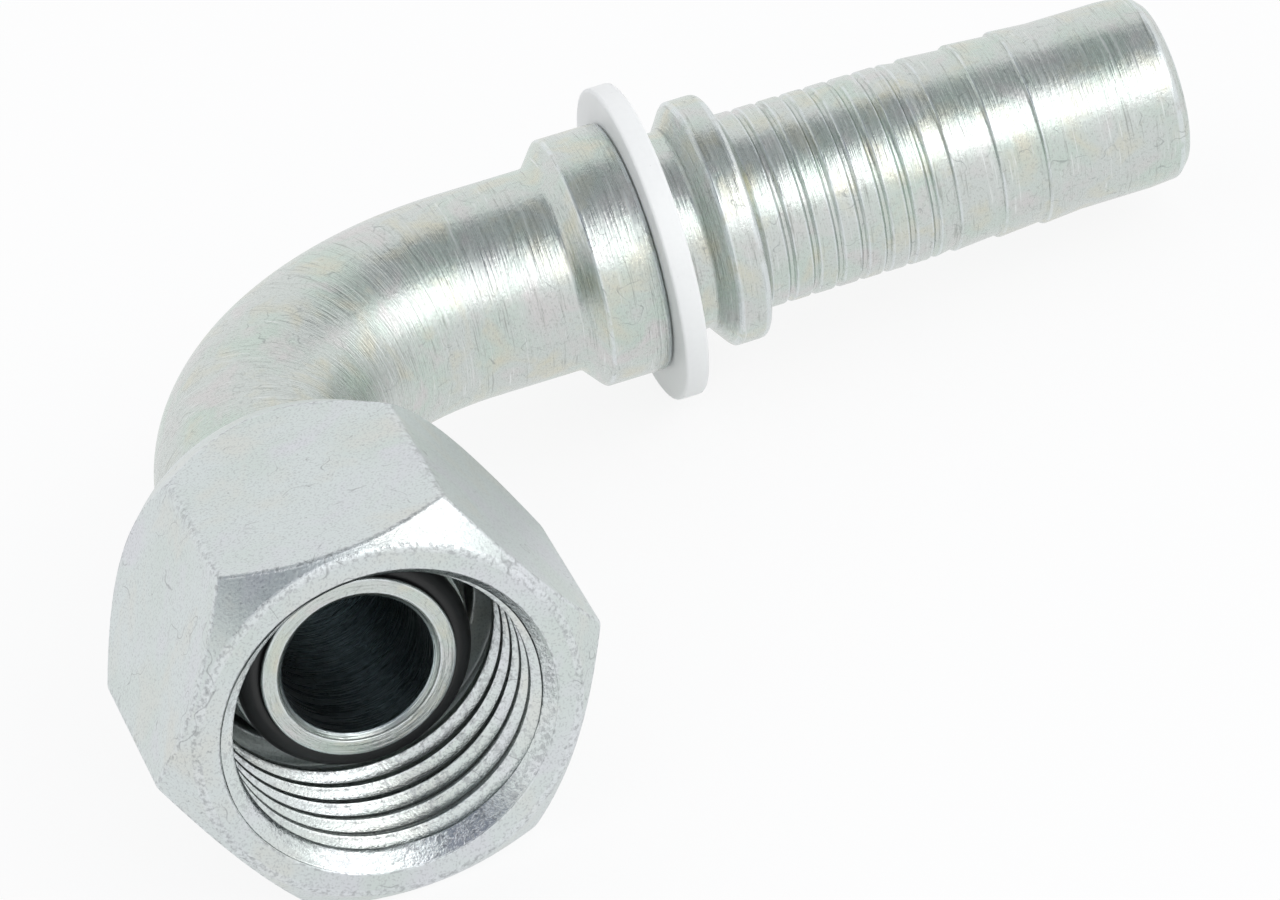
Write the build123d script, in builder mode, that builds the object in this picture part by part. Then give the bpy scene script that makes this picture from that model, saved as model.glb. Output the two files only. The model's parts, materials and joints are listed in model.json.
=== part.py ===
from build123d import *
import math
import os

os.makedirs("parts", exist_ok=True)

# Elbow hose fitting: a bent, turned stem with a swivel nut, an O-ring and a plastic ring.
# Lengths in millimetres. The origin is on the nut's axis where its full thread starts, just
# inside the mouth. +Z is up, the mouth faces -Y and the hose tail points to +X, drooping a
# little, because the fitting lies on a flat of its nut and on the rim of its plastic ring.

# Swivel nut, M16 x 1.5
nut_across_flats = 19.0
nut_length = 15.6
nut_wall = 1.5                 # from a flat to the thread's major diameter, 16 mm
thread_height = 0.812
relief_depth = 0.15            # below the thread's major diameter
front_face_step = 0.35         # from a flat to the front face's edge
mouth_dia = nut_across_flats - 2 * nut_wall    # the 45 degree lead-in meets the front face
thread_minor_dia = mouth_dia - 2 * thread_height
thread_relief_dia = mouth_dia + 2 * relief_depth
front_face_dia = nut_across_flats - 2 * front_face_step
rear_corner_length = 4.8       # how far the crimped rear taper reaches along the corners
rear_taper = 26.0              # degrees from the axis
thread_end = 8.9               # last full thread, from the mouth
relief_length = 1.3
swivel_gap = 0.25              # nut to stem, at the seat and round the shoulder
rear_hole_gap = 0.2

# Stem: diameters at the nose, from the thread inwards, and the walls round the bore
shoulder_gap = 0.488           # radial, so that the shoulder passes through the nut's thread
cone_step = 0.9                # shoulder to the cone's thin end, radial
nose_step = 1.1                # cone's thin end to the nose, radial
ring_groove_depth = 0.55
nose_wall = 1.05
tube_wall = 1.6
shoulder_dia = thread_minor_dia - 2 * shoulder_gap
cone_start_dia = shoulder_dia - 2 * cone_step
nose_dia = cone_start_dia - 2 * nose_step
groove_dia = nose_dia - 2 * ring_groove_depth
bore_dia = nose_dia - 2 * nose_wall
tube_dia = bore_dia + 2 * tube_wall

# Stem: bend
bend_radius = 14.0
nose_to_tail_axis = 29.4       # nose face to the hose tail's axis
nose_recess = 5.2              # nose face behind the nut's mouth

# Stem: nose, O-ring groove, 24 degree cone and shoulder
nose_edge = 0.15
bore_edge = 0.3
groove_start = 0.2
groove_gap = 0.08              # groove wall to O-ring, each side
cone_half_angle = 12.0
cone_length = 3.7
shoulder_length = 1.0
seat_angle = 45.0

# O-ring
ring_section = 1.5
ring_stretch_gap = 0.02        # O-ring to the groove's floor

# Stem: stop collar, neck and locking flange, along the tail from the nut's axis
collar_start = 18.6
collar_end = 22.7
collar_height = 1.17           # above the tube
collar_dia = tube_dia + 2 * collar_height
collar_ramp = 0.85
collar_edge = 0.15
neck_wall = 1.47
neck_dia = bore_dia + 2 * neck_wall
flange_start = 25.5
flange_ramp = 0.8
flange_height = 1.25           # above the neck
flange_dia = neck_dia + 2 * flange_height
flange_end = 28.05
flange_edge = 0.3

# Stem: ribbed tail
rib_wall = 1.4
rib_dia = bore_dia + 2 * rib_wall
groove_depth = 0.17
rib_groove_width = 0.44
rib_groove_floor = 0.16
first_rib_groove = 29.6
rib_pitch = 1.285
rib_count = 7
saw_pitch = 2.42
saw_count = 3
saw_face = 0.1                 # length of each saw tooth's steep face
land_taper = 2.0
land_step = 0.15               # below the ribs, radial
land_dia = rib_dia - 2 * land_step
land_length = 3.8
tail_end = 51.25
tail_tip_wall = 0.6
tail_tip_dia = bore_dia + 2 * tail_tip_wall
tail_tip_length = 0.55

# Plastic ring
washer_width = 3.01            # from the neck to the rim
washer_dia = neck_dia + 2 * washer_width
washer_thickness = 1.25
washer_edge = 0.15
washer_bore_gap = 0.06         # radial, on the neck
washer_end_gap = 0.05          # to the stop collar

# The tail droops until the plastic ring touches the surface that the nut's flat lies on
washer_start = collar_end + washer_end_gap
washer_end = washer_start + washer_thickness
rim_x = washer_end - washer_edge
rim_r = washer_dia / 2 - washer_edge
droop = math.atan2(rim_x, rim_r) - math.acos(
    (nut_across_flats / 2 - washer_edge) / math.hypot(rim_x, rim_r))
lay = Plane(
    origin=(0, 0, 0),
    x_dir=(math.cos(droop), 0, -math.sin(droop)),
    z_dir=(math.sin(droop), 0, math.cos(droop)))
lead_in = (mouth_dia - thread_minor_dia) / 2
mouth_y = -lead_in
nose_y = mouth_y + nose_recess
tail_y = nose_y + nose_to_tail_axis
tail_axis = Axis(lay.from_local_coords((0, tail_y)), lay.x_dir)

# Places along the nose
groove_from = nose_y + groove_start
groove_to = groove_from + ring_section + 2 * groove_gap
cone_to = groove_to + cone_length
cone_end_r = cone_start_dia / 2 + cone_length * math.tan(math.radians(cone_half_angle))
shoulder_to = cone_to + shoulder_length
seat_slope = 1 / math.tan(math.radians(seat_angle))
seat_to = shoulder_to + (shoulder_dia - tube_dia) / 2 * seat_slope

# Stem
with BuildPart() as stem:
    # Tube round the bend, from the shoulder to the stop collar
    with BuildLine() as tube_line:
        tube_path = FilletPolyline(
            lay.from_local_coords((0, shoulder_to)),
            lay.from_local_coords((0, tail_y)),
            lay.from_local_coords((collar_end, tail_y)),
            radius=bend_radius)
    with BuildSketch(Plane(origin=(0, shoulder_to, 0), x_dir=lay.x_dir, z_dir=(0, 1, 0))):
        Circle(tube_dia / 2)
    sweep(path=tube_path)

    # Nose, O-ring groove, cone and shoulder, turned round the nut's axis
    with BuildSketch(lay):
        with BuildLine():
            Polyline(
                (0, nose_y),
                (nose_dia / 2 - nose_edge, nose_y),
                (nose_dia / 2, nose_y + nose_edge),
                (nose_dia / 2, groove_from),
                (groove_dia / 2, groove_from),
                (groove_dia / 2, groove_to),
                (cone_start_dia / 2, groove_to),
                (cone_end_r, cone_to),
                (shoulder_dia / 2, cone_to),
                (shoulder_dia / 2, shoulder_to),
                (tube_dia / 2, seat_to),
                (0, seat_to),
                close=True)
        make_face()
    revolve(axis=Axis.Y)

    # Stop collar, neck, locking flange and ribbed tail, turned round the tail's axis
    ribs = []
    for i in range(rib_count):
        at = first_rib_groove + i * rib_pitch
        ribs += [
            (at - rib_groove_width / 2, rib_dia / 2),
            (at - rib_groove_floor / 2, rib_dia / 2 - groove_depth),
            (at + rib_groove_floor / 2, rib_dia / 2 - groove_depth),
            (at + rib_groove_width / 2, rib_dia / 2)]
    first_saw = first_rib_groove + rib_count * rib_pitch
    for i in range(saw_count):
        at = first_saw + i * saw_pitch
        ribs += [(at - saw_face, rib_dia / 2 - groove_depth), (at, rib_dia / 2)]
    land_from = first_saw + (saw_count - 1) * saw_pitch + land_taper
    outline = [
        (collar_start, tube_dia / 2),
        (collar_start + collar_ramp / 3, tube_dia / 2 + (collar_dia - tube_dia) / 16),
        (collar_start + collar_ramp, collar_dia / 2 - collar_edge),
        (collar_start + collar_ramp + collar_edge, collar_dia / 2),
        (collar_end - collar_edge, collar_dia / 2),
        (collar_end, collar_dia / 2 - collar_edge),
        (collar_end, neck_dia / 2),
        (flange_start, neck_dia / 2),
        (flange_start + flange_ramp, flange_dia / 2 - flange_edge / 2),
        (flange_start + flange_ramp + flange_edge / 2, flange_dia / 2),
        (flange_end - flange_edge, flange_dia / 2),
        (flange_end, flange_dia / 2 - flange_edge),
        (flange_end, rib_dia / 2 - groove_depth),
        (flange_end + rib_groove_floor, rib_dia / 2 - groove_depth),
        (flange_end + rib_groove_width, rib_dia / 2),
        *ribs,
        (land_from, land_dia / 2),
        (land_from + land_length, land_dia / 2),
        (tail_end - tail_tip_length, land_dia / 2 - groove_depth),
        (tail_end - tail_tip_length / 3, (land_dia / 2 + tail_tip_dia) / 3),
        (tail_end, tail_tip_dia / 2)]
    with BuildSketch(lay):
        with BuildLine():
            Polyline(
                (collar_start, tail_y),
                *[(x, tail_y + r) for x, r in outline],
                (tail_end, tail_y),
                close=True)
        make_face()
    revolve(axis=tail_axis)

    # Bore from the nose to the tail's end
    with BuildLine() as bore_line:
        bore_path = FilletPolyline(
            lay.from_local_coords((0, nose_y)),
            lay.from_local_coords((0, tail_y)),
            lay.from_local_coords((tail_end, tail_y)),
            radius=bend_radius)
    with BuildSketch(Plane(origin=(0, nose_y, 0), x_dir=lay.x_dir, z_dir=(0, 1, 0))):
        Circle(bore_dia / 2)
    sweep(path=bore_path, mode=Mode.SUBTRACT)
    nose_rim = stem.edges().filter_by(GeomType.CIRCLE).group_by(Axis.Y)[0].sort_by(SortBy.RADIUS)[0]
    chamfer(nose_rim, bore_edge)
stem.part.label = "stem"
export_step(stem.part, "parts/stem.step")

# Swivel nut
corner_r = nut_across_flats / math.sqrt(3)
front_chamfer = corner_r - front_face_dia / 2
rear_face_r = corner_r - rear_corner_length * math.tan(math.radians(rear_taper))
seat_r = shoulder_dia / 2 + swivel_gap
rear_hole_r = tube_dia / 2 + rear_hole_gap
nut_seat_from = shoulder_to + swivel_gap * math.sqrt(2) - swivel_gap
nut_seat_to = nut_seat_from + (seat_r - rear_hole_r) * seat_slope
nut_end = mouth_y + nut_length
relief_from = mouth_y + thread_end
relief_to = relief_from + relief_length
with BuildPart() as nut:
    with BuildSketch(Plane(origin=(0, mouth_y, 0), x_dir=(1, 0, 0), z_dir=(0, 1, 0))):
        RegularPolygon(radius=nut_across_flats / 2, side_count=6, major_radius=False)
    extrude(amount=nut_length)
    # Front chamfer and rear taper, turned
    with BuildSketch(Plane.XY):
        with BuildLine():
            Polyline(
                (0, mouth_y),
                (front_face_dia / 2, mouth_y),
                (corner_r, mouth_y + front_chamfer),
                (corner_r, nut_end - rear_corner_length),
                (rear_face_r, nut_end),
                (0, nut_end),
                close=True)
        make_face()
    revolve(axis=Axis.Y, mode=Mode.INTERSECT)
    # Lead-in, thread at its minor diameter, relief, 45 degree seat and rear hole
    with BuildSketch(Plane.XY):
        with BuildLine():
            Polyline(
                (0, mouth_y),
                (mouth_dia / 2, mouth_y),
                (thread_minor_dia / 2, mouth_y + lead_in),
                (thread_minor_dia / 2, relief_from),
                (thread_relief_dia / 2, relief_from),
                (thread_relief_dia / 2, relief_to),
                (seat_r, relief_to),
                (seat_r, nut_seat_from),
                (rear_hole_r, nut_seat_to),
                (rear_hole_r, nut_end),
                (0, nut_end),
                close=True)
        make_face()
    revolve(axis=Axis.Y, mode=Mode.SUBTRACT)
nut.part.label = "nut"
export_step(nut.part, "parts/nut.step")

# O-ring in the nose's groove
with BuildPart() as o_ring:
    with BuildSketch(lay):
        with Locations((groove_dia / 2 + ring_stretch_gap + ring_section / 2, (groove_from + groove_to) / 2)):
            Circle(ring_section / 2)
    revolve(axis=Axis.Y)
o_ring.part.label = "o_ring"
export_step(o_ring.part, "parts/o_ring.step")

# Plastic ring on the neck
washer_bore_r = neck_dia / 2 + washer_bore_gap
with BuildPart() as seal_ring:
    with BuildSketch(lay):
        with BuildLine():
            Polyline(
                (washer_start, tail_y + washer_bore_r),
                (washer_end, tail_y + washer_bore_r),
                (washer_end, tail_y + washer_dia / 2),
                (washer_start, tail_y + washer_dia / 2),
                close=True)
        make_face()
    revolve(axis=tail_axis)
    rims = seal_ring.edges().filter_by(GeomType.CIRCLE).sort_by(SortBy.RADIUS)[-2:]
    fillet(rims, washer_edge)
seal_ring.part.label = "seal_ring"
export_step(seal_ring.part, "parts/seal_ring.step")

for piece in (stem, nut, o_ring, seal_ring):
    print(piece.part.label, round(piece.part.volume, 1), len(piece.part.solids()))
print("droop, degrees", round(math.degrees(droop), 3))
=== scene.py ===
# Elbow hose fitting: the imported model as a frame, dressed as turned and zinc plated steel
import json
import math

import bmesh
import bpy
from mathutils import Euler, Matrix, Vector


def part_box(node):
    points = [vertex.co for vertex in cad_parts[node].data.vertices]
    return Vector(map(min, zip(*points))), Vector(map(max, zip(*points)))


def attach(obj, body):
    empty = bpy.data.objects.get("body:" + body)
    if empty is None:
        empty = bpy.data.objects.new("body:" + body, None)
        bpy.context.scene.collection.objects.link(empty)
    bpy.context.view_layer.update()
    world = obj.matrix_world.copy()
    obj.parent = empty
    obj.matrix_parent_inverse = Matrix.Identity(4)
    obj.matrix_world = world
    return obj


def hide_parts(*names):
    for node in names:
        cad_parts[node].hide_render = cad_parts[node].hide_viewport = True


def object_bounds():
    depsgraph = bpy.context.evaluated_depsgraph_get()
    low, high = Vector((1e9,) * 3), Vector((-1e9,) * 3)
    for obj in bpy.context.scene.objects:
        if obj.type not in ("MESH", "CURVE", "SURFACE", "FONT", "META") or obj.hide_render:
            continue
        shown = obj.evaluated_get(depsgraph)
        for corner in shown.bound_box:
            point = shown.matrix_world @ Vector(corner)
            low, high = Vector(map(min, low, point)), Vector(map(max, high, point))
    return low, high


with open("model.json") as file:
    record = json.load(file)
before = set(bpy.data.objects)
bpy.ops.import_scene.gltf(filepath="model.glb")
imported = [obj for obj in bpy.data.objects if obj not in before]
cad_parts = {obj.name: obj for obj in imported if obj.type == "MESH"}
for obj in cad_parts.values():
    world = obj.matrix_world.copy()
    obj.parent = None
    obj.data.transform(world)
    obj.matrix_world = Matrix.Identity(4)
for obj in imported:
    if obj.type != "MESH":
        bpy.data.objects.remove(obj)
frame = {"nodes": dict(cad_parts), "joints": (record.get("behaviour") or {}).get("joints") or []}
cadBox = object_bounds()
mm = 0.001
print("frame loaded")

# The stem's own directions: along the tail, along the nut and square to both
ringSlide = next(joint for joint in frame["joints"] if joint["name"] == "ring_slide")
tailWay = Vector(ringSlide["axis"]).normalized()
nutWay = Vector((0, 1, 0))
sideWay = tailWay.cross(nutWay)

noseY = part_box("stem")[0].y
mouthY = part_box("nut")[0].y
nutLength = (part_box("nut")[1].y - mouthY) / mm
ringMiddle = (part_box("seal_ring")[0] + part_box("seal_ring")[1]) / 2
tailY = ringMiddle.y
floorZ = cadBox[0].z


# Sections and meshes, shared by the stem and the nut

sectionSteps = {
    "arc": 4,              # steps on a rounded corner
    "longest": 0.5,        # millimetres, the longest step on a run
    "support": 0.08,       # from a corner's arc to the first point of its run
    "straight": 178,       # degrees, above which a corner stays as it is
    "arcShare": 0.48,      # of a run that one corner's arc may take
}


def roundedCorner(before, here, after, rounding):
    # the arc that rounds a corner: edge is 1 where metal stands out, -1 in a hollow corner
    toBefore, toAfter = before - here, after - here
    wedge = toBefore.angle(toAfter)
    if rounding == 0 or wedge > math.radians(sectionSteps["straight"]):
        return [(here, 0)]
    share = sectionSteps["arcShare"]
    back = min(rounding / math.tan(wedge / 2), toBefore.length * share, toAfter.length * share)
    halfway = (toBefore.normalized() + toAfter.normalized()).normalized()
    middle = here + halfway * back / math.cos(wedge / 2)
    start = here + toBefore.normalized() * back - middle
    stop = here + toAfter.normalized() * back - middle
    sweep = math.pi - wedge
    edge = -1 if toBefore.cross(toAfter) < 0 else 1
    arc = []
    for step in range(sectionSteps["arc"] + 1):
        turn = step / sectionSteps["arc"]
        spoke = start * math.sin((1 - turn) * sweep) + stop * math.sin(turn * sweep)
        arc.append((middle + spoke / math.sin(sweep), edge))
    return arc


def roundedSection(corners, closed, runSteps=None):
    # corners are (along, radius, rounding) in millimetres, with the metal on the right hand side
    # the result is (along, radius, edge, run), and runSteps fixes the number of points on a run
    spots = [Vector((along, radius)) for along, radius, rounding in corners]
    count = len(spots)
    support = sectionSteps["support"]
    arcs = []
    for i, here in enumerate(spots):
        if not closed and i in (0, count - 1):
            arcs.append([(here, 0)])
        else:
            arcs.append(roundedCorner(spots[i - 1], here, spots[(i + 1) % count], corners[i][2]))
    section = []
    for i, arc in enumerate(arcs):
        section += [(spot.x, spot.y, edge, i) for spot, edge in arc]
        if i == count - 1 and not closed:
            break
        start, stop = arc[-1][0], arcs[(i + 1) % count][0][0]
        length = (stop - start).length
        if not runSteps and length < 3 * support:
            continue
        margin = min(support, length / 4)
        inner = length - 2 * margin
        steps = runSteps.get(i, 2) if runSteps else math.ceil(inner / sectionSteps["longest"])
        for step in range(steps + 1):
            spot = start.lerp(stop, (margin + inner * step / steps) / length)
            section.append((spot.x, spot.y, 0, i))
    return section


def meshFromGrid(name, points, faces, values):
    # values are named numbers or vectors, one for each point
    mesh = bpy.data.meshes.new(name)
    mesh.from_pydata(points, [], faces)
    for label, numbers in values.items():
        isVector = isinstance(numbers[0], (tuple, list, Vector))
        layer = mesh.attributes.new(label, "FLOAT_VECTOR" if isVector else "FLOAT", "POINT")
        flat = [part for number in numbers for part in number] if isVector else list(numbers)
        layer.data.foreach_set("vector" if isVector else "value", flat)
    mesh.shade_smooth()
    piece = bpy.data.objects.new(name, mesh)
    bpy.context.scene.collection.objects.link(piece)
    return piece


def gridFaces(rows, columns, closed):
    # faces between neighbouring rows of points, each row a closed ring
    faces = []
    for row in range(rows if closed else rows - 1):
        here, above = row * columns, (row + 1) % rows * columns
        for column in range(columns):
            right = (column + 1) % columns
            faces.append((here + column, above + column, above + right, here + right))
    return faces


# Stem: one turned and bent tube, from the nose face to the tail's end

stemSizes = {
    "aroundSteps": 136,
    "boreRadius": 3.65,         # millimetres, as all sizes here
    "boreChamfer": 0.3,
    "tubeRadius": 5.25,
    "bendRadius": 14.0,
    "noseRadius": 4.7,
    "grooveStart": 0.2,
    "grooveWidth": 1.66,
    "grooveRadius": 4.15,
    "coneStartRadius": 5.8,
    "coneEndRadius": 6.586,
    "coneLength": 3.7,
    "shoulderRadius": 6.7,
    "shoulderLength": 1.0,
    "collarStart": 18.6,        # from here on along the tail, measured from the nut's axis
    "collarEnd": 22.7,
    "collarRadius": 6.42,
    "collarRamp": 0.85,
    "neckRadius": 5.12,
    "flangeStart": 25.5,
    "flangeEnd": 28.05,
    "flangeRadius": 6.37,
    "flangeRamp": 0.8,
    "rimBevel": 0.15,           # on the collar's and the flange's outer edge
    "ribRadius": 5.05,
    "ribGrooveDepth": 0.17,
    "ribGrooveWidth": 0.44,
    "ribGrooveFloor": 0.16,
    "firstRibGroove": 29.6,
    "ribPitch": 1.285,
    "ribCount": 7,
    "sawPitch": 2.42,
    "sawCount": 3,
    "sawFace": 0.1,
    "landTaper": 2.0,
    "landRadius": 4.9,
    "landLength": 3.8,
    "tailEnd": 51.25,
    "tailTipRadius": 4.25,
    "tailTipLength": 0.55,
    "tailTipDrop": 0.1,
    "tailBoreStep": 0.1,
    "tailBoreLength": 0.3,
}

stemRounds = {
    "boreMouth": 0.08,
    "nose": 0.22,
    "grooveLip": 0.03,
    "grooveFloor": 0.08,
    "coneStart": 0.1,
    "coneEnd": 0.04,
    "shoulder": 0.05,
    "shoulderRear": 0.08,
    "tubeStart": 0.3,
    "collarFoot": 0.5,
    "collarRim": 0.15,
    "collarRear": 0.2,
    "neckStart": 0.15,
    "neckEnd": 0.3,
    "flangeRim": 0.1,
    "flangeRear": 0.35,
    "flangeFoot": 0.12,
    "ribFloor": 0.05,
    "ribLip": 0.06,
    "sawLip": 0.07,
    "landEnd": 0.4,
    "tailTip": 0.2,
    "tailMouth": 0.1,
    "tailBore": 0.05,
}


def stemPlace(along, radius, angle):
    # a point of the straight rod, bent round the elbow; along is measured from the nose face
    bend = stemSizes["bendRadius"]
    straight = (tailY - noseY) / mm - bend
    arcLength = bend * math.pi / 2
    if along < straight:
        middle = nutWay * along
        outward = -tailWay
    elif along < straight + arcLength:
        turned = (along - straight) / bend
        middle = nutWay * (straight + bend * math.sin(turned)) + tailWay * bend * (1 - math.cos(turned))
        outward = nutWay * math.sin(turned) - tailWay * math.cos(turned)
    else:
        middle = nutWay * (straight + bend) + tailWay * (bend + along - straight - arcLength)
        outward = nutWay
    spoke = outward * math.cos(angle) + sideWay * math.sin(angle)
    return Vector((0, noseY, 0)) + (middle + spoke * radius) * mm


def noseCorners():
    s, r = stemSizes, stemRounds
    grooveEnd = s["grooveStart"] + s["grooveWidth"]
    coneEnd = grooveEnd + s["coneLength"]
    shoulderEnd = coneEnd + s["shoulderLength"]
    return [
        (0, s["boreRadius"] + s["boreChamfer"], r["boreMouth"]),
        (0, s["noseRadius"], r["nose"]),
        (s["grooveStart"], s["noseRadius"], r["grooveLip"]),
        (s["grooveStart"], s["grooveRadius"], r["grooveFloor"]),
        (grooveEnd, s["grooveRadius"], r["grooveFloor"]),
        (grooveEnd, s["coneStartRadius"], r["coneStart"]),
        (coneEnd, s["coneEndRadius"], r["coneEnd"]),
        (coneEnd, s["shoulderRadius"], r["shoulder"]),
        (shoulderEnd, s["shoulderRadius"], r["shoulderRear"]),
        (shoulderEnd + s["shoulderRadius"] - s["tubeRadius"], s["tubeRadius"], r["tubeStart"])]


def collarCorners():
    # the stop collar, the neck that holds the plastic ring, and the locking flange
    s, r = stemSizes, stemRounds
    bevel = s["rimBevel"]
    collarRampEnd = s["collarStart"] + s["collarRamp"]
    flangeRampEnd = s["flangeStart"] + s["flangeRamp"]
    return [
        (s["collarStart"], s["tubeRadius"], r["collarFoot"]),
        (collarRampEnd, s["collarRadius"] - bevel, 0),
        (collarRampEnd + bevel, s["collarRadius"], r["collarRim"]),
        (s["collarEnd"], s["collarRadius"], r["collarRear"]),
        (s["collarEnd"], s["neckRadius"], r["neckStart"]),
        (s["flangeStart"], s["neckRadius"], r["neckEnd"]),
        (flangeRampEnd, s["flangeRadius"] - bevel, r["flangeRim"]),
        (flangeRampEnd + bevel, s["flangeRadius"], r["flangeRim"]),
        (s["flangeEnd"], s["flangeRadius"], r["flangeRear"])]


def ribCorners():
    # the rib grooves, the saw teeth, the land and the tail's tip
    s, r = stemSizes, stemRounds
    rib, floor, land = s["ribRadius"], s["ribRadius"] - s["ribGrooveDepth"], s["landRadius"]
    corners = [
        (s["flangeEnd"], floor, r["flangeFoot"]),
        (s["flangeEnd"] + s["ribGrooveFloor"], floor, r["ribFloor"]),
        (s["flangeEnd"] + s["ribGrooveWidth"], rib, r["ribLip"])]
    for i in range(s["ribCount"]):
        at = s["firstRibGroove"] + i * s["ribPitch"]
        corners += [
            (at - s["ribGrooveWidth"] / 2, rib, r["ribLip"]),
            (at - s["ribGrooveFloor"] / 2, floor, r["ribFloor"]),
            (at + s["ribGrooveFloor"] / 2, floor, r["ribFloor"]),
            (at + s["ribGrooveWidth"] / 2, rib, r["ribLip"])]
    firstSaw = s["firstRibGroove"] + s["ribCount"] * s["ribPitch"]
    for i in range(s["sawCount"]):
        at = firstSaw + i * s["sawPitch"]
        corners += [(at - s["sawFace"], floor, r["ribFloor"]), (at, rib, r["sawLip"])]
    landFrom = firstSaw + (s["sawCount"] - 1) * s["sawPitch"] + s["landTaper"]
    return corners + [
        (landFrom, land, 0),
        (landFrom + s["landLength"], land, 0),
        (s["tailEnd"] - s["tailTipLength"], land - s["tailTipDrop"], r["landEnd"]),
        (s["tailEnd"], s["tailTipRadius"], r["tailTip"]),
        (s["tailEnd"], s["boreRadius"] + s["tailBoreStep"], r["tailMouth"]),
        (s["tailEnd"] - s["tailBoreLength"], s["boreRadius"], r["tailBore"])]


def stemSection():
    s = stemSizes
    straight = (tailY - noseY) / mm - s["bendRadius"]
    tailStart = straight + s["bendRadius"] * (math.pi / 2 - 1)    # where the nut's axis would be
    tail = [(tailStart + at, radius, rounding) for at, radius, rounding in collarCorners() + ribCorners()]
    bore = [(s["boreChamfer"], s["boreRadius"], stemRounds["boreMouth"])]
    return roundedSection(noseCorners() + tail + bore, closed=True)


def makeStem():
    section = stemSection()
    columns = stemSizes["aroundSteps"]
    points, rod, edges = [], [], []
    path = 0
    for i, (along, radius, edge, run) in enumerate(section):
        if i:
            path += math.dist((along, radius), section[i - 1][:2])
        for column in range(columns):
            angle = 2 * math.pi * column / columns
            points.append(stemPlace(along, radius, angle))
            rod.append((path, radius * math.cos(angle), radius * math.sin(angle)))
            edges.append(edge)
    faces = gridFaces(len(section), columns, closed=True)
    stem = meshFromGrid("bentStem", points, faces, {"rod": rod, "edge": edges})
    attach(stem, "stem")
    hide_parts("stem")
    return stem


# Swivel nut: a hexagon with turned chamfers and a cut thread

nutSizes = {
    "acrossFlats": 19.0,        # millimetres, as all sizes here
    "cornerRound": 0.4,
    "mouthRadius": 8.0,
    "mouthStep": 0.06,
    "frontFaceRadius": 9.15,
    "frontRound": 0.5,
    "flatRound": 0.3,
    "rearRound": 0.3,
    "rearFaceRadius": 8.63,
    "rearTaper": 26.0,          # degrees
    "rearHoleRadius": 5.45,
    "holeRound": 0.15,
    "seatRadius": 6.95,
    "seatStart": 11.864,
    "seatRound": 0.1,
    "reliefLength": 1.3,
    "reliefRadius": 8.15,
    "reliefRound": 0.15,
    "cornerWear": 2.6,          # degrees either side of a corner of the hexagon
}

nutThread = {
    "pitch": 1.5,
    "minorRadius": 7.188,
    "majorRadius": 8.02,
    "crestWidth": 0.40,
    "rootWidth": 0.16,
    "crestEase": 0.03,          # the crest's edge starts this far before the flank
    "crestLift": 0.02,
    "end": 8.9,
    "flankShares": (0.12, 0.3, 0.5, 0.7, 0.9),
    "brightBand": 0.1,          # worn bright this far above the crest
    "wear": 0.6,
}

nutSteps = {
    "corner": (0, 0.25, 0.5, 0.75, 1.0, 1.3, 1.7, 2.2, 3, 4.5, 6.5),    # degrees from a corner
    "flatStart": 8.5,
    "flatStep": 2.15,
    "flatCount": 10,
    "flatRun": 3,                                                       # the section's run on a flat
    "runs": {1: 5, 2: 5, 3: 16, 4: 6, 5: 5, 7: 4, 8: 4},                # points on the section's runs
}


def hexRadius(angle):
    # distance from the nut's axis to its outside, with rounded corners
    flat = nutSizes["acrossFlats"] / 2
    rounding = nutSizes["cornerRound"]
    halfSide = math.pi / 6
    tilt = abs((angle + halfSide) % (math.pi / 3) - halfSide)    # from the nearest corner
    away = (flat - rounding) / math.cos(halfSide)
    reach = math.atan2(rounding * math.sin(halfSide), away + rounding * math.cos(halfSide))
    if tilt > reach:
        return flat / math.cos(halfSide - tilt)
    return away * math.cos(tilt) + math.sqrt(rounding ** 2 - (away * math.sin(tilt)) ** 2)


def cornerShare(angle):
    # 1 on the hexagon's corners, falling to 0 a little way along the flats
    tilt = abs((math.degrees(angle) + 30) % 60 - 30)
    return max(0.0, 1 - tilt / nutSizes["cornerWear"])


def nutAngles():
    # fine steps at the corners, wider ones over the flats
    half = list(nutSteps["corner"])
    half += [nutSteps["flatStart"] + nutSteps["flatStep"] * i for i in range(nutSteps["flatCount"])]
    sector = half + [60 - tilt for tilt in reversed(half[1:])]
    sector = sorted(set(round(tilt, 3) for tilt in sector))
    return [math.radians(60 * corner + tilt) for corner in range(6) for tilt in sector]


def nutPlace(along, radius, angle):
    # along is measured from the mouth, and the angle turns about +Y
    return Vector((radius * mm * math.cos(angle), mouthY + along * mm, -radius * mm * math.sin(angle)))


def threadProfile():
    # (share of a pitch, radius): crest, flank, root and flank
    t = nutThread
    minor, lifted = t["minorRadius"], t["minorRadius"] + t["crestLift"]
    flank = (t["pitch"] - t["crestWidth"] - t["rootWidth"]) / 2
    rise = t["majorRadius"] - minor
    crestEnd = t["crestWidth"]
    rootStart = crestEnd + flank
    rootEnd = rootStart + t["rootWidth"]
    spots = [(0, minor), (crestEnd / 2, minor), (crestEnd - t["crestEase"], minor)]
    spots += [(crestEnd + t["crestLift"], lifted)]
    spots += [(crestEnd + flank * share, minor + rise * share) for share in t["flankShares"]]
    spots += [(rootStart, t["majorRadius"]), (rootEnd, t["majorRadius"])]
    for share in reversed(t["flankShares"]):
        spots.append((rootEnd + flank * (1 - share), minor + rise * share))
    spots.append((t["pitch"] - t["crestLift"], lifted))
    return [(at / t["pitch"], radius) for at, radius in spots]


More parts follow.
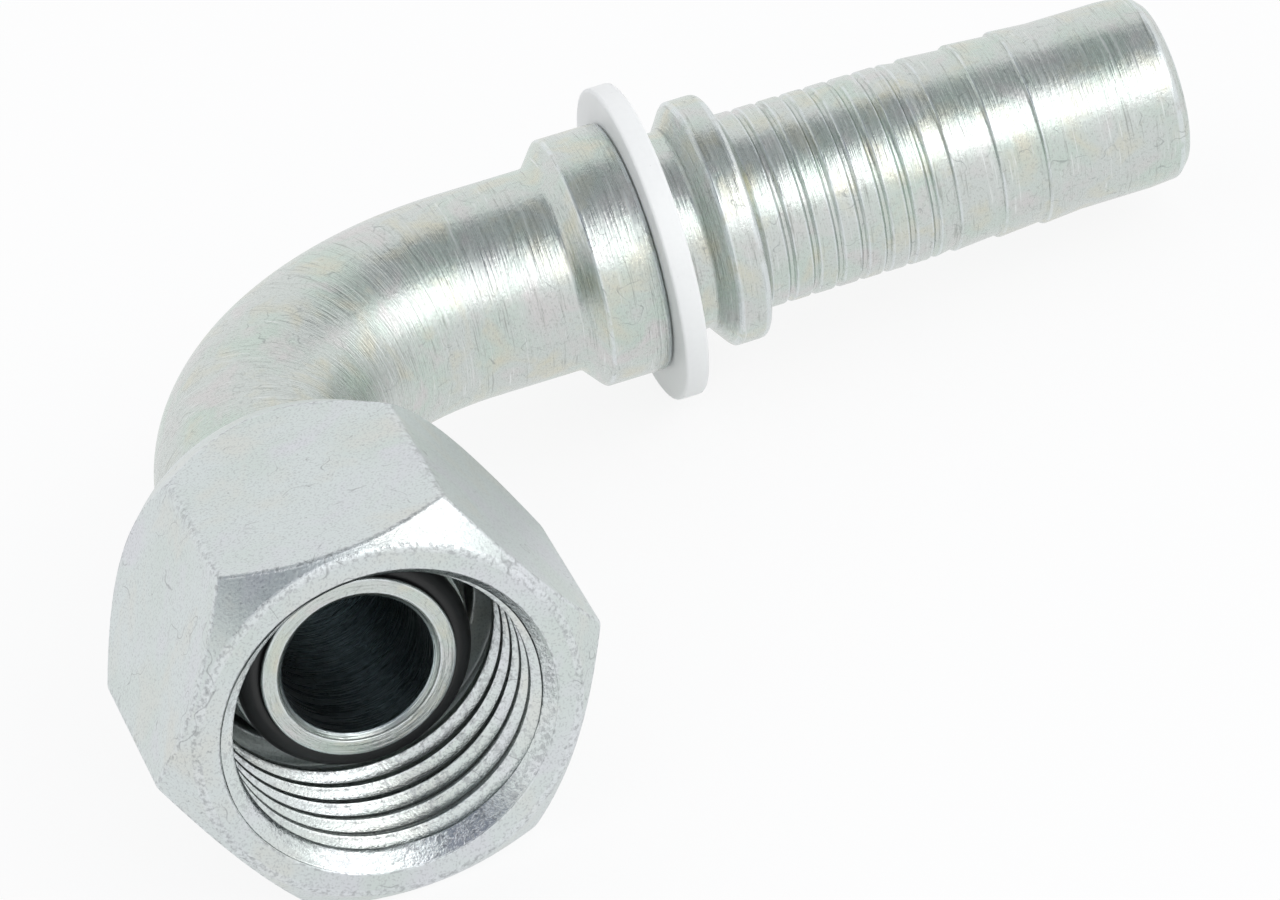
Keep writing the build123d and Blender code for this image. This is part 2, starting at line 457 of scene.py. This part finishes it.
def threadRadius(phase, profile):
    phase %= 1.0
    for (at, radius), (nextAt, nextRadius) in zip(profile, profile[1:] + [(1.0, profile[0][1])]):
        if at <= phase <= nextAt:
            return radius + (nextRadius - radius) * (phase - at) / (nextAt - at)
    return profile[0][1]


def nutSection(outside):
    # from the mouth's edge, over the outside and the rear, to the end of the thread
    s = nutSizes
    taper = math.tan(math.radians(s["rearTaper"]))
    seatEnd = s["seatStart"] + s["seatRadius"] - s["rearHoleRadius"]
    reliefEnd = nutThread["end"] + s["reliefLength"]
    corners = [
        (s["mouthStep"], s["mouthRadius"], 0),
        (0, s["mouthRadius"] + s["mouthStep"], s["mouthStep"]),
        (0, s["frontFaceRadius"], s["frontRound"]),
        (outside - s["frontFaceRadius"], outside, s["flatRound"]),
        (nutLength - (outside - s["rearFaceRadius"]) / taper, outside, s["rearRound"]),
        (nutLength, s["rearFaceRadius"], s["rearRound"]),
        (nutLength, s["rearHoleRadius"], s["holeRound"]),
        (seatEnd, s["rearHoleRadius"], s["holeRound"]),
        (s["seatStart"], s["seatRadius"], s["seatRound"]),
        (reliefEnd, s["seatRadius"], s["seatRound"]),
        (reliefEnd, s["reliefRadius"], s["reliefRound"]),
        (nutThread["end"], s["reliefRadius"], 0)]
    return roundedSection(corners, closed=False, runSteps=nutSteps["runs"])


def threadRows(profile, angles):
    # rows of (along, radius, edge) that wind along the helix, cut off at the mouth and at the relief
    s, t = nutSizes, nutThread
    startAlong, stopAlong = s["mouthStep"], t["end"]
    perTurn = len(profile)
    rows = (math.ceil((stopAlong - startAlong) / t["pitch"]) + 1) * perTurn + 1
    for row in range(rows):
        share = row // perTurn + profile[row % perTurn][0]
        ring = []
        for angle in angles:
            along = startAlong + t["pitch"] * (share - 1 + angle / (2 * math.pi))
            clipped = min(max(along, startAlong), stopAlong)
            radius = threadRadius(share + (clipped - along) / t["pitch"], profile)
            cone = s["mouthRadius"] + startAlong - clipped
            onCrest = radius < t["minorRadius"] + t["brightBand"] or cone > radius
            ring.append((clipped, max(radius, cone), t["wear"] if onCrest else -t["wear"]))
        yield ring


def threadFaces(first, rows, columns, perTurn):
    # the last column of a turn meets the first column of the next one
    faces = []
    for row in range(rows - 1):
        for column in range(columns):
            here = first + row * columns + column
            if column < columns - 1:
                faces.append((here, here + 1, here + columns + 1, here + columns))
            elif row + perTurn + 1 < rows:
                beside = first + (row + perTurn) * columns
                faces.append((here, beside, beside + columns, here + columns))
    return faces


def weldPoints(piece):
    # joins the thread to the rest of the nut, and clears the faces that the mouth and the relief cut flat
    nearby = 0.0005 * mm
    work = bmesh.new()
    work.from_mesh(piece.data)
    bmesh.ops.remove_doubles(work, verts=work.verts, dist=nearby)
    bmesh.ops.dissolve_degenerate(work, edges=work.edges, dist=nearby)
    work.to_mesh(piece.data)
    work.free()
    piece.data.shade_smooth()


def makeNut():
    angles = nutAngles()
    columns = len(angles)
    sections = [nutSection(hexRadius(angle)) for angle in angles]
    points, rod, edges, turned = [], [], [], []

    def addPoint(along, radius, angle, edge, finish):
        # finish is 0 on a flat, 1 on a turned face and 2 in the thread
        points.append(nutPlace(along, radius, angle))
        rod.append((along + radius, radius * math.cos(angle), radius * math.sin(angle)))
        edges.append(edge)
        turned.append(finish)

    rows = len(sections[0])
    for row in range(rows):
        for angle, section in zip(angles, sections):
            along, radius, edge, run = section[row]
            onFlat = run == nutSteps["flatRun"]
            if onFlat:
                edge = max(edge, cornerShare(angle))
            addPoint(along, radius, angle, edge, 0 if onFlat else 1)
    faces = gridFaces(rows, columns, closed=False)

    profile = threadProfile()
    first = len(points)
    rings = list(threadRows(profile, angles))
    for ring in rings:
        for angle, (along, radius, edge) in zip(angles, ring):
            addPoint(along, radius, angle, edge, 2)
    faces += threadFaces(first, len(rings), columns, len(profile))

    nut = meshFromGrid("swivelNut", points, faces, {"rod": rod, "edge": edges, "turned": turned})
    weldPoints(nut)
    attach(nut, "nut")
    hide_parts("nut")
    return nut


stem = makeStem()
print("stem made,", len(stem.data.polygons), "faces")
nut = makeNut()
print("nut made,", len(nut.data.polygons), "faces")


# Nodes

def newGroup(name, inputs, output, kind):
    tree = bpy.data.node_groups.new(name, "ShaderNodeTree")
    for label, inputKind, value in inputs:
        socket = tree.interface.new_socket(label, in_out="INPUT", socket_type=inputKind)
        if value is not None:
            socket.default_value = value
    tree.interface.new_socket(output, in_out="OUTPUT", socket_type=kind)
    return tree, tree.nodes.new("NodeGroupInput").outputs, tree.nodes.new("NodeGroupOutput").inputs


def setInputs(tree, node, inputs):
    for label, value in inputs.items():
        if isinstance(value, bpy.types.NodeSocket):
            tree.links.new(value, node.inputs[label])
        else:
            node.inputs[label].default_value = value


def addNode(tree, kind, inputs=None, **settings):
    node = tree.nodes.new("ShaderNode" + kind)
    for label, value in settings.items():
        setattr(node, label, value)
    setInputs(tree, node, inputs or {})
    return node


def useGroup(tree, group, inputs):
    node = tree.nodes.new("ShaderNodeGroup")
    node.node_tree = group
    setInputs(tree, node, inputs)
    return node.outputs[0]


def addMath(tree, operation, first, second=0.0):
    return addNode(tree, "Math", {0: first, 1: second}, operation=operation).outputs[0]


def addMix(tree, share, first, second):
    node = addNode(tree, "Mix", data_type="RGBA")
    for label, value in (("Factor_Float", share), ("A_Color", first), ("B_Color", second)):
        socket = next(socket for socket in node.inputs if socket.identifier == label)
        if isinstance(value, bpy.types.NodeSocket):
            tree.links.new(value, socket)
        else:
            socket.default_value = value
    return next(socket for socket in node.outputs if socket.identifier == "Result_Color")


def addLayer(tree, mask, layer, colour):
    # lays a shade over the colour where the mask is; a layer is (strength, shade)
    strength, shade = layer
    return addMix(tree, addMath(tree, "MULTIPLY", mask, strength), colour, shade)


def addRange(tree, value, fromRange, toRange=(0.0, 1.0)):
    return addNode(tree, "MapRange", {
        "Value": value, "From Min": fromRange[0], "From Max": fromRange[1],
        "To Min": toRange[0], "To Max": toRange[1]}).outputs[0]


def addNoise(tree, place, scale, detail, roughness=0.5, distortion=0.0):
    return addNode(tree, "TexNoise", {
        "Vector": place, "Scale": scale, "Detail": detail, "Roughness": roughness,
        "Distortion": distortion}).outputs["Fac"]


def addAttribute(tree, name, output):
    return addNode(tree, "Attribute", attribute_name=name).outputs[output]


def addPlace(tree):
    # a place on the piece, in millimetres
    place = addNode(tree, "TexCoord").outputs["Object"]
    return addNode(tree, "VectorMath", {0: place, "Scale": 1 / mm}, operation="SCALE").outputs["Vector"]


noiseSpread = (0.3, 0.7)    # where nearly all of a noise's values lie


# Effects that the materials share

tintRanges = {
    "green": (0.45, 0.62),
    "straw": (0.52, 0.70),
    "pink": (0.46, 0.30),
    "otherScale": 1.7,
    "detail": 4.0,
    "distortion": 0.4,
}

speckRange = {"rarest": 0.75, "spread": 0.4, "fade": 0.08, "detail": 3.0, "roughness": 0.6}
scuffRange = {"rarest": 0.7, "spread": 0.4, "fade": 0.12, "detail": 5.0, "roughness": 0.65}
scuffEdge = (0.05, 1.0)
scratchRange = {"middle": 0.5, "patchScale": 1.9, "patch": (0.52, 0.60), "detail": 2.0}
lineNoise = {"detail": 3.0, "roughness": 0.7}


def turningLinesGroup():
    # fine rings left by the turning tool, along a coordinate in millimetres
    tree, start, end = newGroup("Turning lines", [
        ("Rod", "NodeSocketVector", None),
        ("Spacing", "NodeSocketFloat", 0.2),
        ("Waver", "NodeSocketFloat", 0.1)], "Lines", "NodeSocketFloat")
    split = addNode(tree, "SeparateXYZ", {0: start["Rod"]})
    place = addNode(tree, "CombineXYZ", {
        "X": addMath(tree, "DIVIDE", split.outputs["X"], start["Spacing"]),
        "Y": addMath(tree, "MULTIPLY", split.outputs["Y"], start["Waver"]),
        "Z": addMath(tree, "MULTIPLY", split.outputs["Z"], start["Waver"])}).outputs[0]
    tree.links.new(addNoise(tree, place, 1.0, lineNoise["detail"], lineNoise["roughness"]), end["Lines"])
    return tree


def platingTintGroup():
    # the faint green, yellow and pink of a passivated zinc plating
    tree, start, end = newGroup("Plating tint", [
        ("Place", "NodeSocketVector", None),
        ("Patch size", "NodeSocketFloat", 4.0),
        ("Plain", "NodeSocketColor", (0.61, 0.65, 0.63, 1)),
        ("Green", "NodeSocketColor", (0.57, 0.65, 0.60, 1)),
        ("Straw", "NodeSocketColor", (0.64, 0.64, 0.55, 1)),
        ("Pink", "NodeSocketColor", (0.64, 0.635, 0.63, 1))], "Tint", "NodeSocketColor")
    t = tintRanges
    scale = addMath(tree, "DIVIDE", 1.0, start["Patch size"])
    otherScale = addMath(tree, "MULTIPLY", scale, t["otherScale"])
    wide = addNoise(tree, start["Place"], scale, t["detail"])
    other = addNoise(tree, start["Place"], otherScale, t["detail"], distortion=t["distortion"])
    tint = addMix(tree, addRange(tree, wide, t["green"]), start["Plain"], start["Green"])
    tint = addMix(tree, addRange(tree, other, t["straw"]), tint, start["Straw"])
    tint = addMix(tree, addRange(tree, other, t["pink"]), tint, start["Pink"])
    tree.links.new(tint, end["Tint"])
    return tree


def addPatches(tree, start, ranges):
    # patches of noise: a greater share lowers the limit above which they show
    scale = addMath(tree, "DIVIDE", 1.0, start["Size"])
    noise = addNoise(tree, start["Place"], scale, ranges["detail"], ranges["roughness"])
    lower = addMath(tree, "MULTIPLY", start["Share"], ranges["spread"])
    limit = addMath(tree, "SUBTRACT", ranges["rarest"], lower)
    return addRange(tree, noise, (limit, addMath(tree, "ADD", limit, ranges["fade"])))


def fineSpecksGroup():
    # small pits, dark specks and flakes
    tree, start, end = newGroup("Fine specks", [
        ("Place", "NodeSocketVector", None),
        ("Size", "NodeSocketFloat", 0.1),
        ("Share", "NodeSocketFloat", 0.3)], "Specks", "NodeSocketFloat")
    tree.links.new(addPatches(tree, start, speckRange), end["Specks"])
    return tree


def edgeScuffsGroup():
    # worn patches that follow the edges
    tree, start, end = newGroup("Edge scuffs", [
        ("Edge", "NodeSocketFloat", 0.0),
        ("Place", "NodeSocketVector", None),
        ("Size", "NodeSocketFloat", 0.8),
        ("Share", "NodeSocketFloat", 0.5)], "Scuffs", "NodeSocketFloat")
    edge = addRange(tree, start["Edge"], scuffEdge)
    tree.links.new(addMath(tree, "MULTIPLY", addPatches(tree, start, scuffRange), edge), end["Scuffs"])
    return tree


def hairScratchesGroup():
    # thin curved marks, kept to patches
    tree, start, end = newGroup("Hair scratches", [
        ("Place", "NodeSocketVector", None),
        ("Size", "NodeSocketFloat", 2.5),
        ("Width", "NodeSocketFloat", 0.006)], "Scratches", "NodeSocketFloat")
    s = scratchRange
    scale = addMath(tree, "DIVIDE", 1.0, start["Size"])
    noise = addNoise(tree, start["Place"], scale, s["detail"])
    away = addMath(tree, "ABSOLUTE", addMath(tree, "SUBTRACT", noise, s["middle"]))
    mark = addRange(tree, away, (start["Width"], 0.0))
    patches = addNoise(tree, start["Place"], addMath(tree, "MULTIPLY", scale, s["patchScale"]), s["detail"])
    patch = addRange(tree, patches, s["patch"])
    tree.links.new(addMath(tree, "MULTIPLY", mark, patch), end["Scratches"])
    return tree


turningLines = turningLinesGroup()
platingTint = platingTintGroup()
fineSpecks = fineSpecksGroup()
edgeScuffs = edgeScuffsGroup()
hairScratches = hairScratchesGroup()


# Materials

def newMaterial(name):
    material = bpy.data.materials.new(name)
    material.use_nodes = True
    return material, material.node_tree, material.node_tree.nodes["Principled BSDF"]


def dressShader(tree, shader, colour, rough, height, strength=1.0, distance=mm):
    bump = addNode(tree, "Bump", {"Height": height, "Strength": strength, "Distance": distance})
    tree.links.new(colour, shader.inputs["Base Color"])
    tree.links.new(rough, shader.inputs["Roughness"])
    tree.links.new(bump.outputs["Normal"], shader.inputs["Normal"])


stemFinish = {
    "roughness": (0.2, 0.34),
    "lineSpacing": 0.17,                            # millimetres, as all sizes and depths here
    "lineWaver": 0.3,
    "lineDepth": 0.042,
    "bandSpacing": 0.9,
    "bandWaver": 0.15,
    "bandDepth": 0.03,
    "dentSize": 0.3,
    "dentDepth": 0.018,
    "dentDetail": 3.0,
    "dentRoughness": 0.7,
    "specks": {"Size": 0.13, "Share": 0.5},
    "scuffs": {"Size": 1.5, "Share": 0.8},
    "scratches": {"Size": 2.2, "Width": 0.008},
    "groovePaintedShadeRange": (0.42, 0.30),                    # of the turning lines' noise: painted shade in the grooves, and a painted highlight on the ridges
    "ridgePaintedHighlightRange": (0.60, 0.72),
    "boreFade": (0.15, 0.02),                       # outside the bore's radius
    "speckLayer": (0.45, (0.40, 0.42, 0.40, 1)),    # strength and shade
    "scuffLayer": (0.5, (0.78, 0.83, 0.86, 1)),
    # painted shade in the turning grooves and a painted highlight on their ridges, laid into the colour
    "groovePaintedShadeLayer": (0.65, (0.33, 0.35, 0.33, 1)),
    "ridgePaintedHighlightLayer": (0.85, (0.80, 0.83, 0.82, 1)),
    "boreLayer": (1.0, (0.59, 0.65, 0.67, 1)),
    "scratchLayer": (0.6, (0.25, 0.27, 0.27, 1)),
}


def boreMask(tree, rod):
    # 1 on the wall of the bore, by the distance from the rod's axis
    split = addNode(tree, "SeparateXYZ", {0: rod}).outputs
    across = addNode(tree, "CombineXYZ", {"Y": split["Y"], "Z": split["Z"]}).outputs[0]
    distance = addNode(tree, "VectorMath", {0: across}, operation="LENGTH").outputs["Value"]
    return addRange(tree, distance, [stemSizes["boreRadius"] + fade for fade in stemFinish["boreFade"]])


def stemMaterial():
    f = stemFinish
    material, tree, shader = newMaterial("turnedZinc")
    rod = addAttribute(tree, "rod", "Vector")
    edge = addAttribute(tree, "edge", "Fac")
    fine = useGroup(tree, turningLines, {"Rod": rod, "Spacing": f["lineSpacing"], "Waver": f["lineWaver"]})
    bands = useGroup(tree, turningLines, {"Rod": rod, "Spacing": f["bandSpacing"], "Waver": f["bandWaver"]})
    dents = addNoise(tree, rod, 1 / f["dentSize"], f["dentDetail"], f["dentRoughness"])
    specks = useGroup(tree, fineSpecks, {"Place": rod, **f["specks"]})
    scuffs = useGroup(tree, edgeScuffs, {"Edge": edge, "Place": rod, **f["scuffs"]})
    scratches = useGroup(tree, hairScratches, {"Place": rod, **f["scratches"]})
    # the turning lines' grooves get painted shade and their ridges a painted highlight, from the same noise
    # as the bump
    grooves = addRange(tree, fine, f["groovePaintedShadeRange"])
    ridgePaintedHighlight = addRange(tree, fine, f["ridgePaintedHighlightRange"])
    colour = useGroup(tree, platingTint, {"Place": rod})
    colour = addLayer(tree, specks, f["speckLayer"], colour)
    colour = addLayer(tree, scuffs, f["scuffLayer"], colour)
    # painted shade in the grooves, then a painted highlight on the ridges
    colour = addLayer(tree, grooves, f["groovePaintedShadeLayer"], colour)
    colour = addLayer(tree, ridgePaintedHighlight, f["ridgePaintedHighlightLayer"], colour)
    colour = addLayer(tree, boreMask(tree, rod), f["boreLayer"], colour)
    colour = addLayer(tree, scratches, f["scratchLayer"], colour)
    rough = addRange(tree, fine, noiseSpread, f["roughness"])
    height = addMath(tree, "MULTIPLY", fine, f["lineDepth"])
    height = addMath(tree, "ADD", height, addMath(tree, "MULTIPLY", bands, f["bandDepth"]))
    height = addMath(tree, "ADD", height, addMath(tree, "MULTIPLY", dents, f["dentDepth"]))
    dressShader(tree, shader, colour, rough, height)
    shader.inputs["Metallic"].default_value = 1.0
    return material


nutFinish = {
    "roughness": (0.32, 0.45),
    "threadRoughness": (0.14, 0.26),
    "grainSize": 0.13,                              # millimetres, as all sizes and depths here
    "grainDepth": 0.014,
    "grainDetail": 3.0,
    "grainRoughness": 0.6,
    "lineSpacing": 0.12,
    "lineWaver": 0.2,
    "lineDepth": 0.004,
    "scuffDepth": 0.01,
    "specks": {"Size": 0.12, "Share": 0.55},
    "pits": {"Size": 0.3, "Share": 0.2},
    "scuffs": {"Size": 0.25, "Share": 0.55},
    "rubs": {"Size": 2.2, "Share": 0.8},
    "flakes": {"Size": 0.5, "Share": 0.5},
    "scratches": {"Size": 3.0, "Width": 0.007},
    "turnedRange": (0.2, 0.8),                      # from a flat to a turned face
    "threadRange": (1.2, 1.8),                      # from a turned face to the thread
    "speckLayer": (0.4, (0.40, 0.42, 0.43, 1)),     # strength and shade
    "pitLayer": (0.6, (0.25, 0.26, 0.27, 1)),
    "rubLayer": (0.4, (0.82, 0.85, 0.88, 1)),
    "scuffLayer": (0.48, (0.27, 0.28, 0.29, 1)),
    "scratchLayer": (0.6, (0.25, 0.26, 0.27, 1)),
    "flakeLayer": (0.5, (0.42, 0.44, 0.45, 1)),
    "tint": {
        "Patch size": 6.0,
        "Plain": (0.68, 0.73, 0.73, 1),
        "Green": (0.65, 0.71, 0.69, 1),
        "Straw": (0.69, 0.71, 0.68, 1),
        "Pink": (0.69, 0.71, 0.74, 1),
    },
}


def nutMaterial():
    f = nutFinish
    material, tree, shader = newMaterial("satinZinc")
    rod = addAttribute(tree, "rod", "Vector")
    edge = addAttribute(tree, "edge", "Fac")
    turned = addAttribute(tree, "turned", "Fac")
    place = addPlace(tree)
    isTurned = addRange(tree, turned, f["turnedRange"])
    isThread = addRange(tree, turned, f["threadRange"])
    specks = useGroup(tree, fineSpecks, {"Place": place, **f["specks"]})
    pits = useGroup(tree, fineSpecks, {"Place": place, **f["pits"]})
    flakes = useGroup(tree, fineSpecks, {"Place": place, **f["flakes"]})
    rubs = useGroup(tree, edgeScuffs, {"Edge": edge, "Place": place, **f["rubs"]})
    scuffs = useGroup(tree, edgeScuffs, {"Edge": edge, "Place": place, **f["scuffs"]})
    scratches = useGroup(tree, hairScratches, {"Place": place, **f["scratches"]})
    grain = addNoise(tree, place, 1 / f["grainSize"], f["grainDetail"], f["grainRoughness"])
    lines = useGroup(tree, turningLines, {"Rod": rod, "Spacing": f["lineSpacing"], "Waver": f["lineWaver"]})
    colour = useGroup(tree, platingTint, {"Place": place, **f["tint"]})
    colour = addLayer(tree, specks, f["speckLayer"], colour)
    colour = addLayer(tree, pits, f["pitLayer"], colour)
    colour = addLayer(tree, rubs, f["rubLayer"], colour)
    colour = addLayer(tree, scuffs, f["scuffLayer"], colour)
    colour = addLayer(tree, scratches, f["scratchLayer"], colour)
    colour = addLayer(tree, addMath(tree, "MULTIPLY", flakes, isThread), f["flakeLayer"], colour)
    plain = addRange(tree, grain, noiseSpread, f["roughness"])
    smooth = addRange(tree, lines, noiseSpread, f["threadRoughness"])
    rough = addNode(tree, "Mix", {"Factor": isThread, "A": plain, "B": smooth}).outputs["Result"]
    cuts = addMath(tree, "MULTIPLY", addMath(tree, "MULTIPLY", lines, f["lineDepth"]), isTurned)
    height = addMath(tree, "ADD", addMath(tree, "MULTIPLY", grain, f["grainDepth"]), cuts)
    height = addMath(tree, "SUBTRACT", height, addMath(tree, "MULTIPLY", scuffs, f["scuffDepth"]))
    dressShader(tree, shader, colour, rough, height)
    shader.inputs["Metallic"].default_value = 1.0
    return material


rubberFinish = {
    "grainScale": 9.0,             # grains in a millimetre
    "grainDetail": 3.0,
    "dark": (0.008, 0.009, 0.009, 1),
    "pale": (0.02, 0.021, 0.022, 1),
    "roughness": (0.35, 0.5),
    "bumpStrength": 0.6,
    "bumpDepth": 0.01,             # millimetres
}


def rubberMaterial():
    f = rubberFinish
    material, tree, shader = newMaterial("blackRubber")
    grain = addNoise(tree, addPlace(tree), f["grainScale"], f["grainDetail"])
    colour = addMix(tree, grain, f["dark"], f["pale"])
    rough = addRange(tree, grain, noiseSpread, f["roughness"])
    dressShader(tree, shader, colour, rough, grain, f["bumpStrength"], f["bumpDepth"] * mm)
    return material


plasticFinish = {
    "grainScale": 3.0,             # waves in a millimetre
    "grainDetail": 4.0,
    "dark": (0.87, 0.88, 0.87, 1),
    "pale": (0.91, 0.92, 0.91, 1),
    "specks": {"Size": 0.3, "Share": 0.1},
    "speckLayer": (0.5, (0.45, 0.45, 0.42, 1)),
    "roughness": (0.36, 0.46),
    "bumpStrength": 0.5,
    "bumpDepth": 0.03,             # millimetres
    "glowWeight": 0.5,             # light that passes through the ring
    "glowDepth": 0.8,
}


def plasticMaterial():
    f = plasticFinish
    material, tree, shader = newMaterial("milkyPlastic")
    place = addPlace(tree)
    specks = useGroup(tree, fineSpecks, {"Place": place, **f["specks"]})
    grain = addNoise(tree, place, f["grainScale"], f["grainDetail"])
    colour = addLayer(tree, specks, f["speckLayer"], addMix(tree, grain, f["dark"], f["pale"]))
    rough = addRange(tree, grain, noiseSpread, f["roughness"])
    dressShader(tree, shader, colour, rough, grain, f["bumpStrength"], f["bumpDepth"] * mm)
    shader.inputs["Subsurface Weight"].default_value = f["glowWeight"]
    shader.inputs["Subsurface Radius"].default_value = (1.0, 1.0, 1.0)
    shader.inputs["Subsurface Scale"].default_value = f["glowDepth"] * mm
    return material


stem.data.materials.append(stemMaterial())
nut.data.materials.append(nutMaterial())
for node, material in (("o_ring", rubberMaterial()), ("seal_ring", plasticMaterial())):
    for slot in frame["nodes"][node].material_slots:
        slot.material = material
print("materials made")


# Studio: a white floor, two grey cards that only reflections see, and one soft light

studio = {
    "middle": (0.015, 0.018, 0),          # metres, as all sizes here
    "distance": 0.9,
    "floorHalf": 2.0,
    "floorWhite": 0.86,                   # the share of plain white in what is seen of the floor
    "floorColour": (0.96, 0.96, 0.96, 1),
    "floorRoughness": 0.9,
    "roomColour": (0.96, 0.97, 1.0, 1),
    "roomStrength": 0.82,
    "softboxWay": (0.492, -0.649, 0.572),
    "softboxSize": (1.0, 0.55),
    "softboxPower": 2.5,
}

greyCards = {
    "greyCeiling": {"way": (0.0, 0.0, 1.0), "size": (1.8, 0.95), "shade": (0.40, 0.42, 0.43, 1)},
    "greyWall": {"way": (-0.353, -0.504, 0.788), "size": (0.9, 0.6), "shade": (0.25, 0.27, 0.32, 1)},
}


def addSeen(tree):
    # 1 for the rays that show the studio itself, 0 for the light that it throws on the fitting
    path = addNode(tree, "LightPath").outputs
    seen = addMath(tree, "MAXIMUM", path["Is Camera Ray"], path["Is Glossy Ray"])
    return addMath(tree, "MAXIMUM", seen, path["Is Transmission Ray"])


def flatSheet(name, halfWidth, halfHeight, z, material):
    mesh = bpy.data.meshes.new(name)
    corners = [(-halfWidth, -halfHeight, z), (halfWidth, -halfHeight, z),
               (halfWidth, halfHeight, z), (-halfWidth, halfHeight, z)]
    mesh.from_pydata(corners, [], [(0, 1, 2, 3)])
    mesh.materials.append(material)
    sheet = bpy.data.objects.new(name, mesh)
    bpy.context.scene.collection.objects.link(sheet)
    return sheet


def hangAround(holder, way):
    # turns a lamp or a card to the fitting, at the studio's distance
    way = Vector(way).normalized()
    holder.location = Vector(studio["middle"]) + way * studio["distance"]
    holder.rotation_euler = way.to_track_quat("Z", "Y").to_euler()
    holder.visible_camera = False


def makeFloor():
    material, tree, shader = newMaterial("paleFloor")
    shader.inputs["Base Color"].default_value = studio["floorColour"]
    shader.inputs["Roughness"].default_value = studio["floorRoughness"]
    shader.inputs["Specular IOR Level"].default_value = 0.0
    glow = addNode(tree, "Emission", {"Color": (1, 1, 1, 1), "Strength": 1.0})
    share = addMath(tree, "MULTIPLY", addSeen(tree), studio["floorWhite"])
    mix = addNode(tree, "MixShader", {0: share, 1: shader.outputs[0], 2: glow.outputs[0]})
    tree.links.new(mix.outputs[0], tree.nodes["Material Output"].inputs["Surface"])
    floor = flatSheet("studioFloor", studio["floorHalf"], studio["floorHalf"], floorZ, material)


def makeSoftbox():
    lamp = bpy.data.lights.new("frontSoftbox", "AREA")
    lamp.shape = "RECTANGLE"
    lamp.size, lamp.size_y = studio["softboxSize"]
    lamp.energy = studio["softboxPower"]
    holder = bpy.data.objects.new("frontSoftbox", lamp)
    bpy.context.scene.collection.objects.link(holder)
    hangAround(holder, studio["softboxWay"])


def makeCard(name, way, size, shade):
    material, tree, shader = newMaterial(name)
    glow = addNode(tree, "Emission", {"Color": shade, "Strength": 1.0})
    tree.links.new(glow.outputs[0], tree.nodes["Material Output"].inputs["Surface"])
    card = flatSheet(name, size[0] / 2, size[1] / 2, 0, material)
    hangAround(card, way)
    card.visible_shadow = False
    card.visible_diffuse = False


def makeWorld():
    world = bpy.data.worlds.new("studio")
    bpy.context.scene.world = world
    world.use_nodes = True
    tree = world.node_tree
    tree.nodes.clear()
    room = addNode(tree, "Background", {"Color": studio["roomColour"], "Strength": studio["roomStrength"]})
    white = addNode(tree, "Background", {"Color": (1, 1, 1, 1), "Strength": 1.0})
    mix = addNode(tree, "MixShader", {0: addSeen(tree), 1: room.outputs[0], 2: white.outputs[0]})
    output = addNode(tree, "OutputWorld")
    tree.links.new(mix.outputs[0], output.inputs["Surface"])


cameraView = {
    "place": (-35.364, -283.241, 190.918),    # millimetres
    "turn": (56.785, 12.374, -17.986),        # degrees about X, Y and Z
    "lens": 210.70,
    "sensor": 36.0,
    "clip": (0.01, 10.0),                     # metres
}


def makeCamera():
    lens = bpy.data.cameras.new("photoView")
    lens.lens = cameraView["lens"]
    lens.sensor_width = cameraView["sensor"]
    lens.clip_start, lens.clip_end = cameraView["clip"]
    camera = bpy.data.objects.new("photoView", lens)
    camera.location = Vector(cameraView["place"]) * mm
    camera.rotation_euler = Euler([math.radians(turn) for turn in cameraView["turn"]], "XYZ")
    bpy.context.scene.collection.objects.link(camera)
    bpy.context.scene.camera = camera


makeWorld()
makeFloor()
for name, card in greyCards.items():
    makeCard(name, **card)
makeSoftbox()
makeCamera()
bpy.context.scene.view_settings.view_transform = "Standard"
print("studio made")
